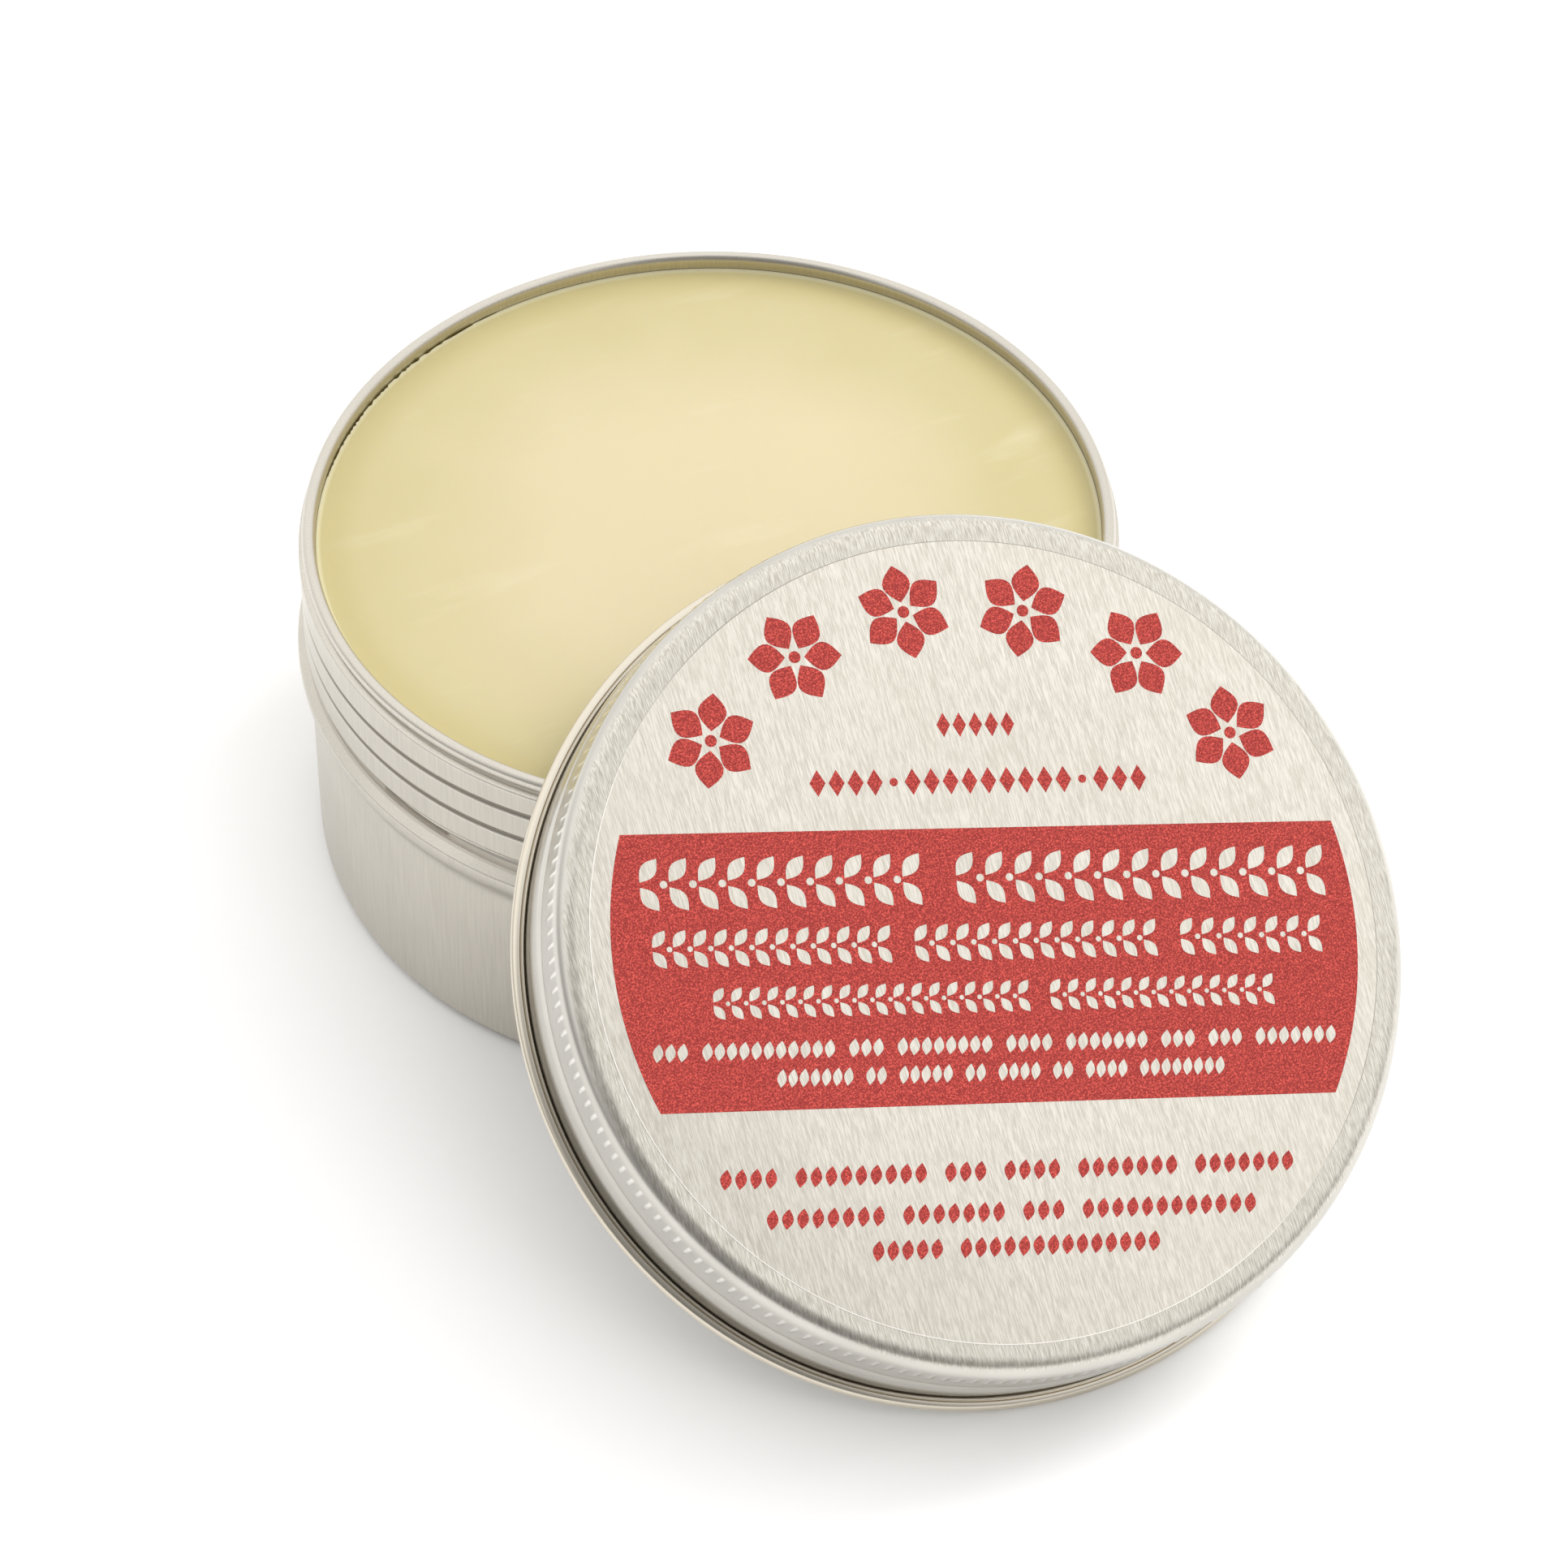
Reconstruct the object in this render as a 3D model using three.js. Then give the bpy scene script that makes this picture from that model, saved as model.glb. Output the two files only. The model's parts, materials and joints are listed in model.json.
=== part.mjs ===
// A drawn aluminium screw tin, filled with pale polish wax, with its lid off and leaning against it.
// Millimetres, +Z up. The origin is the centre of the tin's flat base, and the lid leans on the -Y side.
import * as THREE from "three";

// Driving dimensions
const SHEET = 0.4; // thickness of the aluminium sheet
const GAP = 0.3; // clearance between pieces that rest on each other
const SEGMENTS = 48; // steps round every turned piece

const TIN = {
  height: 40,
  bodyR: 41.1, // outside of the plain wall
  baseCornerR: 1.8,
  beadLow: 21.8, // the bead that the lid's edge comes down to
  beadHigh: 26,
  beadBulge: 1.1,
  beadSkew: 1.5, // moves the crest of the bead up
  recessR: 40.8, // outside of the plain ring between bead and thread
  recessTop: 27.2,
  neckR: 41.2, // outside of the threaded neck
  neckLow: 27.8,
  neckHigh: 37.4,
  curlR: 41, // outside of the rolled rim
  curlWidth: 1.3,
  curlHeight: 1.5,
};
const THREAD = {
  lead: 7,
  starts: 2,
  depth: 0.5,
  width: 1.8,
  runOut: 1, // height over which a groove fades in or out
};
const TIN_THREAD_PHASE = 3.01; // height of a groove where the angle is zero, less whole pitches
const LID = {
  outerR: 42, // outside of the skirt
  depth: 15.5,
  shoulderR: 2,
  threadTop: -8,
  threadLow: -13.6,
  bandLow: -14.1, // where the skirt meets the rolled edge
  curlR: 43.3,
  curlHeight: 1.4,
};
const LID_THREAD_PHASE = 1.2;
const LINER = { r: 40.5, thickness: 1 };
const LABEL = { r: 38.9, thickness: 0.15, gap: 0.1 };
const BAND = {
  r: 36.9, // round ends of the printed band, concentric with the label
  low: -16, // the band's straight edges, from the label's centre
  high: 10.6,
  turnDeg: -18, // the print is turned on the lid's face
  gap: 0.1,
  thickness: 0.1,
};
const WAX = { top: 38, wallTop: 37.1 };
const LEAN = THREE.MathUtils.degToRad(33.9); // slope of the leaning lid's face from the horizontal
const LID_REACH = 61; // from the tin's axis to the centre of the lid's face, on plan

const THREAD_ROW = 0.8; // height of one row of faces in a threaded stretch

// Outline helpers: an outline is a list of points, x = radius and y = height.
const point = (radius, height) => new THREE.Vector2(radius, height);

function arc(centre, radiusX, radiusY, fromDeg, toDeg, steps) {
  const points = [];
  for (let i = 0; i <= steps; i++) {
    const angle = THREE.MathUtils.degToRad(fromDeg + ((toDeg - fromDeg) * i) / steps);
    points.push(point(centre.x + radiusX * Math.cos(angle), centre.y + radiusY * Math.sin(angle)));
  }
  return points;
}

function straight(radius, fromHeight, toHeight) {
  const steps = Math.ceil(Math.abs(toHeight - fromHeight) / THREAD_ROW);
  const points = [];
  for (let i = 0; i <= steps; i++) {
    points.push(point(radius, fromHeight + ((toHeight - fromHeight) * i) / steps));
  }
  return points;
}

// How far a rolled thread sinks the sheet inwards at an angle and a height.
function grooveDepth(angle, height, low, high, phase) {
  if (height <= low || height >= high) return 0;
  const pitch = THREAD.lead / THREAD.starts;
  const rise = height - phase - (THREAD.lead * angle) / (2 * Math.PI);
  const offset = rise - pitch * Math.round(rise / pitch);
  if (Math.abs(offset) >= THREAD.width / 2) return 0;
  const section = 0.5 + 0.5 * Math.cos((2 * Math.PI * offset) / THREAD.width);
  const fade = Math.min(1, (height - low) / THREAD.runOut, (high - height) / THREAD.runOut);
  return THREAD.depth * section * fade;
}

// Turns an outline round the Z axis, and rolls a thread into the stretch between two heights.
function turned(outline, thread) {
  const geometry = new THREE.LatheGeometry(outline, SEGMENTS);
  geometry.rotateX(Math.PI / 2);
  if (!thread) return geometry;
  const position = geometry.getAttribute("position");
  for (let i = 0; i < position.count; i++) {
    const [x, y, z] = [position.getX(i), position.getY(i), position.getZ(i)];
    const radius = Math.hypot(x, y);
    if (radius < thread.minR) continue;
    const depth = grooveDepth(Math.atan2(y, x), z, thread.low, thread.high, thread.phase);
    const scale = (radius - depth) / radius;
    position.setXYZ(i, x * scale, y * scale, z);
  }
  geometry.computeVertexNormals();
  return geometry;
}

function mesh(name, geometry, look) {
  const made = new THREE.Mesh(geometry, new THREE.MeshStandardMaterial(look));
  made.name = name;
  return made;
}

// The bead's skin from its foot to its top, offset inwards by inset.
function beadSkin(inset) {
  const steps = 7;
  const points = [];
  for (let i = 0; i <= steps; i++) {
    const t = i / steps;
    const straightR = THREE.MathUtils.lerp(TIN.bodyR, TIN.recessR, t);
    const bulge = TIN.beadBulge * Math.sin(Math.PI * t ** TIN.beadSkew);
    points.push(point(straightR + bulge - inset, THREE.MathUtils.lerp(TIN.beadLow, TIN.beadHigh, t)));
  }
  return points;
}

// The can: flat base, plain wall, bead, threaded neck and outward-rolled rim, from one sheet.
function tinBody() {
  const baseCorner = point(TIN.bodyR - TIN.baseCornerR, TIN.baseCornerR);
  const insideCornerR = TIN.baseCornerR - SHEET;
  const curlCentre = point(TIN.curlR - TIN.curlWidth / 2, TIN.height - TIN.curlHeight / 2);
  const mouthR = TIN.curlR - TIN.curlWidth;
  const outside = [
    point(0, 0),
    ...arc(baseCorner, TIN.baseCornerR, TIN.baseCornerR, -90, 0, 4),
    ...beadSkin(0),
    point(TIN.recessR, TIN.recessTop),
    ...straight(TIN.neckR, TIN.neckLow, TIN.neckHigh),
    point(mouthR + SHEET + 0.15, TIN.height - TIN.curlHeight - 0.1),
  ];
  const rim = arc(curlCentre, TIN.curlWidth / 2, TIN.curlHeight / 2, -60, 180, 6);
  const inside = [
    point(mouthR, WAX.top - 0.1),
    ...straight(TIN.neckR - SHEET, TIN.neckHigh - 0.2, TIN.neckLow),
    point(TIN.recessR - SHEET, TIN.recessTop),
    ...beadSkin(SHEET).reverse(),
    ...arc(baseCorner, insideCornerR, insideCornerR, 0, -90, 4),
    point(0, SHEET),
  ];
  const thread = { low: TIN.neckLow, high: TIN.neckHigh, phase: TIN_THREAD_PHASE, minR: 40.5 };
  return mesh("tin_body", turned([...outside, ...rim, ...inside], thread), {
    color: 0xcdcac2,
    roughness: 0.35,
    metalness: 1,
  });
}

// The cast block of polish that fills the can to just under the rim.
function waxFill() {
  const lowR = TIN.recessR - SHEET - GAP;
  const neckR = TIN.neckR - SHEET - THREAD.depth - GAP;
  const mouthR = TIN.curlR - TIN.curlWidth - GAP;
  const bottom = SHEET + GAP;
  const cornerR = TIN.baseCornerR - SHEET;
  const outline = [
    point(0, bottom),
    ...arc(point(lowR - cornerR, bottom + cornerR), cornerR, cornerR, -90, 0, 3),
    point(lowR, TIN.beadLow),
    point(neckR, TIN.recessTop),
    point(neckR, WAX.wallTop - 0.6),
    point(mouthR, WAX.wallTop),
    point(mouthR, WAX.top),
    point(0, WAX.top),
  ];
  return mesh("wax", turned(outline), { color: 0xe9ddaf, roughness: 0.45, metalness: 0 });
}

// Lid outlines: height 0 is the outside of the face, and the lid opens downwards.
function lidOutline() {
  const shoulder = point(LID.outerR - LID.shoulderR, -LID.shoulderR);
  const insideR = LID.outerR - SHEET;
  const insideShoulderR = LID.shoulderR - SHEET;
  const curlCentre = point((insideR + LID.curlR) / 2, LID.curlHeight / 2 - LID.depth);
  const curlHalf = (LID.curlR - insideR) / 2;
  return [
    point(0, -SHEET),
    ...arc(shoulder, insideShoulderR, insideShoulderR, 90, 0, 3),
    ...straight(insideR, LID.threadTop, LID.threadLow),
    ...arc(curlCentre, curlHalf, LID.curlHeight / 2, -180, 70, 7),
    point(LID.outerR, LID.bandLow),
    ...straight(LID.outerR, LID.threadLow, LID.threadTop),
    ...arc(shoulder, LID.shoulderR, LID.shoulderR, 0, 90, 4),
    point(0, 0),
  ];
}

function lidShell(outline) {
  const thread = {
    low: LID.threadLow,
    high: LID.threadTop,
    phase: LID_THREAD_PHASE,
    minR: LID.outerR - 2 * SHEET,
  };
  return mesh("lid_shell", turned(outline, thread), {
    color: 0xd6d3ca,
    roughness: 0.3,
    metalness: 1,
  });
}

// The foam disc that seals on the tin's rim.
function lidLiner() {
  const top = -SHEET - GAP - 0.05;
  const bottom = top - LINER.thickness;
  const outline = [point(0, bottom), point(LINER.r, bottom), point(LINER.r, top), point(0, top)];
  return mesh("lid_liner", turned(outline), { color: 0xf2f1ec, roughness: 0.9, metalness: 0 });
}

// The round metallised film label on the lid's face.
function lidLabel() {
  const top = LABEL.gap + LABEL.thickness;
  const outline = [
    point(0, LABEL.gap),
    point(LABEL.r, LABEL.gap),
    point(LABEL.r, top),
    point(0, top),
  ];
  return mesh("lid_label", turned(outline), { color: 0xdcd8ce, roughness: 0.4, metalness: 0.8 });
}

// The red band printed across the label: two straight edges between two arcs.
function labelBand() {
  const highAngle = Math.asin(BAND.high / BAND.r);
  const lowAngle = Math.asin(BAND.low / BAND.r);
  const outline = new THREE.Shape();
  outline.absarc(0, 0, BAND.r, lowAngle, highAngle);
  outline.absarc(0, 0, BAND.r, Math.PI - highAngle, Math.PI - lowAngle);
  const geometry = new THREE.ExtrudeGeometry(outline, {
    depth: BAND.thickness,
    bevelEnabled: false,
    curveSegments: 8,
  });
  geometry.translate(0, 0, LABEL.gap + LABEL.thickness + BAND.gap);
  geometry.rotateZ(THREE.MathUtils.degToRad(BAND.turnDeg));
  return mesh("label_band", geometry, { color: 0xc63a38, roughness: 0.5, metalness: 0 });
}

// The leaning lid: its group turns the face towards -Y, and stands its rolled edge on the ground.
function leaningLid() {
  const outline = lidOutline();
  const lowest = outline.map((p) => p.x * Math.sin(LEAN) - p.y * Math.cos(LEAN));
  const lid = new THREE.Group();
  lid.add(lidShell(outline), lidLiner(), lidLabel(), labelBand());
  lid.rotation.x = LEAN;
  lid.position.set(0, -LID_REACH, Math.max(...lowest));
  return lid;
}

const group = new THREE.Group();
group.add(tinBody(), waxFill(), leaningLid());

export default group;
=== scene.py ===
"""Looks for a round aluminium screw tin of pale polish wax, with its printed lid leaning against it.

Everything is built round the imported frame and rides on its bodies. Blender works in metres, and the
outlines and driving sizes below are in millimetres.
"""
import json
import math

import bmesh
import bpy
from mathutils import Matrix, Vector


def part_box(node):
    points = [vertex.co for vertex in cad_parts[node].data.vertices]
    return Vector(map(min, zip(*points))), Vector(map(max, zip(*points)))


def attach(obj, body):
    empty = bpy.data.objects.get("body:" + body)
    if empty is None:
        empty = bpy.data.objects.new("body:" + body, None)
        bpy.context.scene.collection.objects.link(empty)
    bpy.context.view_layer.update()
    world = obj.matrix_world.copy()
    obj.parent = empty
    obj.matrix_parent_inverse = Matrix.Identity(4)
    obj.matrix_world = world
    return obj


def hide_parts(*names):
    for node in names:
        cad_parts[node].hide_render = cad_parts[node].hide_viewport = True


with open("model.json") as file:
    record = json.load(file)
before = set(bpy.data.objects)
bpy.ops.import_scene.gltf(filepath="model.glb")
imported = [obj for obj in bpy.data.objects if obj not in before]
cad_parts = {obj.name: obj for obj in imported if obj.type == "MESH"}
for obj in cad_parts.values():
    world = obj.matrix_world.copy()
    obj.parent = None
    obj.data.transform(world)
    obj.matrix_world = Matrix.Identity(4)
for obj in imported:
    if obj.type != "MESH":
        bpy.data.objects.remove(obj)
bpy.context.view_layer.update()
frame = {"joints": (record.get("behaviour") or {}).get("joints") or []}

MM = 0.001

# ---------------------------------------------------------------- places, from the frame
_, tin_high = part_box("tin_body")
TIN_TOP = tin_high.z / MM
lid_turn = next(joint for joint in frame["joints"] if joint["name"] == "lid_turn")
LID_NORMAL = Vector(lid_turn["axis"]).normalized()
LID_ACROSS = Vector((1, 0, 0))
LID_UP_SLOPE = LID_NORMAL.cross(LID_ACROSS)
LID_PLACE = Matrix.Translation(Vector(lid_turn["pos_m"])) @ Matrix(
    (LID_ACROSS, LID_UP_SLOPE, LID_NORMAL)
).transposed().to_4x4()

# ---------------------------------------------------------------- driving sizes, in millimetres
SHEET = 0.4
TIN = {
    "wall_r": 41.1,
    "base_corner_r": 1.8,
    "ring_low": 20.0,  # a soft ring is pressed in round the wall under the bead
    "ring_middle": 20.9,
    "ring_depth": 0.05,
    "bead_foot": 21.6,
    "bead_foot_depth": 0.08,
    "bead_crest": 24.9,
    "bead_r": 42.15,
    "bead_corner_r": 0.35,
    "bead_corner_drop": 0.85,  # from the bead's upper edge down to the centre of its corner
    "bead_edge": 26.15,
    "recess_r": 41.0,
    "recess_top": 27.5,
    "neck_r": 41.4,
    "neck_low": 28.0,
    "neck_high": 37.7,
    "neck_shoulder": 0.22,
    "crease_r": 40.76,  # the crease between the neck's shoulder and the rolled rim
    "crease": 38.35,
    "curl_r": 41.0,
    "mouth_r": 39.65,
    "curl_height": 1.55,
}
THREAD = {"lead": 7.0, "starts": 2, "depth": 0.24, "width": 0.9, "run_out": 0.8}
TIN_THREAD_PHASE = 3.01
LID_THREAD_PHASE = 1.2
LID = {
    "wall_r": 42.0,
    "shoulder_r": 2.0,
    "step": -7.5,  # a fine groove parts the plain wall from the band below it
    "step_depth": 0.2,
    "band_high": -8.0,
    "band_low": -12.3,
    "band_r": 42.2,
    "recess_r": 42.0,
    "lip_r": 42.22,  # a thin lip stands on the rolled edge, beside the skirt
    "lip_half": 0.1,
    "depth": 15.5,
    "curl_r": 43.3,
    "curl_height": 1.4,
}
KNURL = {
    "ribs": 190,
    "high": -1.9,
    "low": -4.6,
    "height": 0.12,
    "half_width": 0.17,  # half the width of one rib, as a share of the pitch
}
LINER = {"r": 40.5, "top": -0.45, "thickness": 1.3}
LABEL = {"r": 38.9, "thickness": 0.13, "edge_r": 0.05}
WAX = {
    "top": 38.0,
    "edge_r": 39.63,
    "edge_rounding": 0.07,
    "gap": 0.15,
    "meniscus": 0.45,
    "meniscus_width": 2.2,
    "flakes_from": 98,  # the stretch of ragged edge, in degrees round the tin
    "flakes_to": 146,
    "flake_size": 0.27,
    "flake_width": 1.2,
}
BAND = {"r": 36.9, "low": -16.0, "high": 10.6}  # the printed band, from the label's centre
ARCH = {"motifs": 6, "foot_r": 28.4, "start_deg": 143, "step_deg": -21.2}
INK_THICKNESS = 0.02
INK_SINK = 0.005  # how far the ink reaches into the film, so that no gap shows
PRINT_TURN = math.radians(-18)  # the print's turn on the lid's face
BRUSH_TURN = math.radians(-95)  # direction of the brushing on the lid's face, from the lid's X
RIB_HIGHLIGHT_TURN = math.radians(168)  # where on the lid the painted highlight on the ribs is brightest
EDGE_LIT_TURN = math.radians(215)  # where the label's cut edge gets its painted highlight; the far side gets painted shade
LID_BRUSH_SEED = 3.0
LABEL_BRUSH_SEED = 41.0


# ---------------------------------------------------------------- turned shapes
def arc(centre, radius_x, radius_z, start, end, steps):
    """Points of an elliptical arc in a (radius, height) outline, with its angles in degrees."""
    points = []
    for i in range(steps + 1):
        angle = math.radians(start + (end - start) * i / steps)
        points.append((centre[0] + radius_x * math.cos(angle), centre[1] + radius_z * math.sin(angle)))
    return points


def straight(radius, start, end, row):
    """Points up or down a plain wall, one for each row of faces."""
    steps = max(1, math.ceil(abs(end - start) / row))
    return [(radius, start + (end - start) * i / steps) for i in range(steps + 1)]


def even_angles(count):
    return [2 * math.pi * i / count for i in range(count)]


def stitched(ring, other):
    """Faces between two rings; where one ring has more points, each face takes several of them."""
    steps = min(len(loop) for loop in (ring, other) if len(loop) > 1)

    def share(loop, step):
        if len(loop) == 1:
            return loop
        each = len(loop) // steps
        return [loop[i % len(loop)] for i in range(step * each, (step + 1) * each + 1)]

    return [share(ring, step) + share(other, step)[::-1] for step in range(steps)]


def turned(name, outline, angles_at, bend=None):
    """Turns a (radius, height) outline round Z. bend(radius, height, angle) moves a point of the surface."""
    points, rings = [], []
    for radius, height in outline:
        ring = []
        for angle in angles_at(height) if radius > 0 else [0.0]:
            r, z = bend(radius, height, angle) if bend else (radius, height)
            ring.append(len(points))
            points.append((r * math.cos(angle) * MM, r * math.sin(angle) * MM, z * MM))
        rings.append(ring)
    faces = []
    for ring, other in zip(rings, rings[1:]):
        faces += stitched(ring, other)
    mesh = bpy.data.meshes.new(name)
    mesh.from_pydata(points, [], faces)
    return shown(name, mesh)


def shown(name, mesh, sharp_deg=40):
    """Links a mesh as an object, smooth but for its sharp edges."""
    mesh.validate()
    mesh.shade_smooth()
    mesh.set_sharp_from_angle(angle=math.radians(sharp_deg))
    made = bpy.data.objects.new(name, mesh)
    bpy.context.scene.collection.objects.link(made)
    return made


def groove(angle, height, low, high, phase):
    """Depth of a rolled two-start thread at an angle and a height."""
    if not low < height < high:
        return 0.0
    pitch = THREAD["lead"] / THREAD["starts"]
    rise = height - phase - THREAD["lead"] * angle / (2 * math.pi)
    offset = rise - pitch * round(rise / pitch)
    if abs(offset) >= THREAD["width"] / 2:
        return 0.0
    section = 0.5 + 0.5 * math.cos(2 * math.pi * offset / THREAD["width"])
    fade = min(1.0, (height - low) / THREAD["run_out"], (high - height) / THREAD["run_out"])
    return THREAD["depth"] * section * fade


def settled(piece, body, nodes, material):
    """Gives a finished piece its body and its material, and hides the CAD nodes it stands for."""
    piece.data.materials.append(material)
    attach(piece, body)
    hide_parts(*nodes)


# ---------------------------------------------------------------- tin
def bead_skin():
    """The bead, from the soft ring under its foot to the plain ring above it, up the outside."""
    wall_r, foot, edge_z = TIN["wall_r"], TIN["bead_foot"], TIN["bead_edge"]
    points = [(wall_r, TIN["ring_low"]), (wall_r - TIN["ring_depth"], TIN["ring_middle"])]
    steps = 14
    for i in range(steps + 1):
        t = i / steps
        swell = (TIN["bead_r"] - wall_r) * (0.5 - 0.5 * math.cos(math.pi * t))
        radius = wall_r - TIN["bead_foot_depth"] * (1 - t) + swell
        points.append((radius, foot + (TIN["bead_crest"] - foot) * t))
    corner_r = TIN["bead_corner_r"]
    corner = (TIN["bead_r"] - corner_r, edge_z - TIN["bead_corner_drop"])
    points += arc(corner, corner_r, corner_r, 0, 50, 5)
    return points + [(TIN["recess_r"] + 0.1, edge_z + 0.1), (TIN["recess_r"], edge_z + 0.2)]


def offset_inwards(points, distance):
    return [(radius - distance, height) for radius, height in reversed(points)]


def tin_outline():
    """The can as one sheet: up the outside, over the rolled rim and down the inside."""
    corner_r = TIN["base_corner_r"]
    corner = (TIN["wall_r"] - corner_r, corner_r)
    outside = [(0, 0), (corner[0] / 2, 0)] + arc(corner, corner_r, corner_r, -90, 0, 8)
    outside += bead_skin() + [(TIN["recess_r"], TIN["recess_top"])]
    fine_row = 0.1  # the thread's narrow grooves need this
    outside += straight(TIN["neck_r"], TIN["neck_low"] - 0.15, TIN["neck_high"], fine_row)
    shoulder = TIN["neck_shoulder"]
    outside += arc((TIN["neck_r"] - shoulder, TIN["neck_high"] + 0.15), shoulder, 0.25, 10, 80, 4)
    outside += [(TIN["crease_r"], TIN["crease"] - 0.1), (TIN["crease_r"] - 0.05, TIN["crease"])]
    curl_half = (TIN["curl_r"] - TIN["mouth_r"]) / 2
    curl = (TIN["mouth_r"] + curl_half, TIN_TOP - TIN["curl_height"] / 2)
    rim = arc(curl, curl_half, TIN["curl_height"] / 2, -55, 180, 22)
    inside = [(TIN["mouth_r"], WAX["top"] - 0.1), (TIN["mouth_r"] + 0.1, WAX["top"] - 0.4)]
    inside += straight(TIN["neck_r"] - SHEET, TIN["neck_high"] - 0.1, TIN["neck_low"], 0.5)
    inside += offset_inwards(bead_skin(), SHEET)
    inside += arc(corner, corner_r - SHEET, corner_r - SHEET, 0, -90, 5)
    return outside + rim + inside + [(0, SHEET)]


def tin_bend(radius, height, angle):
    """Rolls the thread into the outside of the neck."""
    if radius < TIN["recess_r"] - 0.1:
        return radius, height
    low, high = TIN["neck_low"] - 0.6, TIN["neck_high"] + 0.2
    return radius - groove(angle, height, low, high, TIN_THREAD_PHASE), height


# ---------------------------------------------------------------- wax
def wax_ragged(angle):
    """How far the wax has drawn back from the wall: small saw-toothed flakes along one stretch."""
    degrees = math.degrees(angle) % 360
    start, end = WAX["flakes_from"], WAX["flakes_to"]
    if not start < degrees < end:
        return 0.0
    flake_length = 6.4 + 1.7 * math.sin(degrees * 0.9)
    share = (degrees - start) / flake_length % 1.0
    fade = math.sin(math.pi * (degrees - start) / (end - start)) ** 0.5
    return WAX["flake_size"] * (1 - share) * fade


def wax_outline():
    """The block of wax, up its side and then in across its top."""
    top, edge_r, rounding = WAX["top"], WAX["edge_r"], WAX["edge_rounding"]
    neck_r = TIN["neck_r"] - SHEET - THREAD["depth"] - WAX["gap"]
    low_r = TIN["recess_r"] - SHEET - WAX["gap"]
    floor = SHEET + WAX["gap"]
    bevel = 1.5
    outline = [(0, floor), (low_r - bevel, floor), (low_r, floor + bevel), (low_r, TIN["recess_top"] + 0.2)]
    outline += [(neck_r, TIN["neck_low"]), (neck_r, top - 1.4), (edge_r - 0.02, top - 1.0)]
    outline += [(edge_r, top - 0.3)]
    flat_r = edge_r - rounding
    outline += arc((flat_r, top - rounding), rounding, rounding, 0, 90, 3)
    rings = 26
    outline += [(flat_r * (1 - (i / rings) ** 1.6), top) for i in range(1, rings)]
    return outline + [(0, top)]


def wax_bend(radius, height, angle):
    """Lifts the wax's edge along the wall, and gives its top the slight waves of a poured block."""
    if height < WAX["top"] - 0.9:
        return radius, height
    x, y = radius * math.cos(angle), radius * math.sin(angle)
    from_edge = WAX["edge_r"] - radius
    rim = max(0.0, 1 - from_edge / WAX["meniscus_width"])
    waves = 0.05 * math.sin(x * 0.11 + 1.3) * math.cos(y * 0.09 - 0.4)
    waves += 0.025 * math.sin(x * 0.31 - y * 0.23)
    ragged = wax_ragged(angle) * max(0.0, 1 - from_edge / WAX["flake_width"])
    return radius - ragged, height + WAX["meniscus"] * rim**3 + waves * (1 - rim)


# ---------------------------------------------------------------- lid
def lid_outline():
    """The lid as one sheet, opening downwards: out inside it, round its rolled edge and up the skirt."""
    wall_r, shoulder_r, low = LID["wall_r"], LID["shoulder_r"], -LID["depth"]
    inner_r = wall_r - SHEET
    shoulder = (wall_r - shoulder_r, -shoulder_r)
    inner_shoulder_r = shoulder_r - SHEET
    inside = [(0, -SHEET), (20, -SHEET)] + arc(shoulder, inner_shoulder_r, inner_shoulder_r, 90, 0, 6)
    inside += straight(inner_r, LID["band_high"] + 0.6, LID["band_low"] - 0.6, 0.25)
    curl = ((inner_r + LID["curl_r"]) / 2, low + LID["curl_height"] / 2)
    rolled = arc(curl, (LID["curl_r"] - inner_r) / 2, LID["curl_height"] / 2, -180, 82, 26)
    lip_in, lip_out = LID["lip_r"] - LID["lip_half"], LID["lip_r"] + LID["lip_half"]
    lip = [(lip_out + 0.08, low + 1.22), (lip_out, low + 1.22)]
    lip += arc((LID["lip_r"], low + 1.32), LID["lip_half"], 0.1, 0, 180, 6)
    recess = [(lip_in, low + 1.0), (LID["recess_r"] + 0.01, low + 0.9)]
    recess += [(LID["recess_r"], low + 1.1), (LID["recess_r"], LID["band_low"] - 0.25)]
    band = []
    steps = 16
    for i in range(steps + 1):
        t = i / steps
        swell = math.sin(math.pi * t**1.35) ** 0.6
        height = LID["band_low"] + (LID["band_high"] - LID["band_low"]) * t
        band.append((wall_r + (LID["band_r"] - wall_r) * swell, height))
    step_r = wall_r - LID["step_depth"]
    step = [(step_r, LID["step"] - 0.1), (step_r, LID["step"] + 0.05)]
    step += [(wall_r - 0.03, LID["step"] + 0.3), (wall_r, LID["step"] + 0.5)]
    wall = straight(wall_r, -6.2, KNURL["low"] - 0.4, 0.7)
    wall += straight(wall_r, KNURL["low"] - 0.2, -shoulder_r - 0.2, 0.25)
    face = arc(shoulder, shoulder_r, shoulder_r, 0, 90, 12)
    face += [(wall_r * 0.7, 0), (wall_r * 0.35, 0), (0, 0)]
    return inside + rolled + lip + recess + band + step + wall + face


# Places of the points round one rib, as shares of its pitch.
KNURL_STEPS = (0.0, 0.09, 0.17, 0.5, 0.83, 0.91)


def lid_angles(height):
    """Every rib of the knurl has its own points; elsewhere two points a rib are enough."""
    if KNURL["low"] - 0.1 <= height <= KNURL["high"] + 0.1:
        shares = KNURL_STEPS
    else:
        shares = KNURL_STEPS[::3]
    pitch = 2 * math.pi / KNURL["ribs"]
    return [pitch * (rib + share) for rib in range(KNURL["ribs"]) for share in shares]


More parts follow.
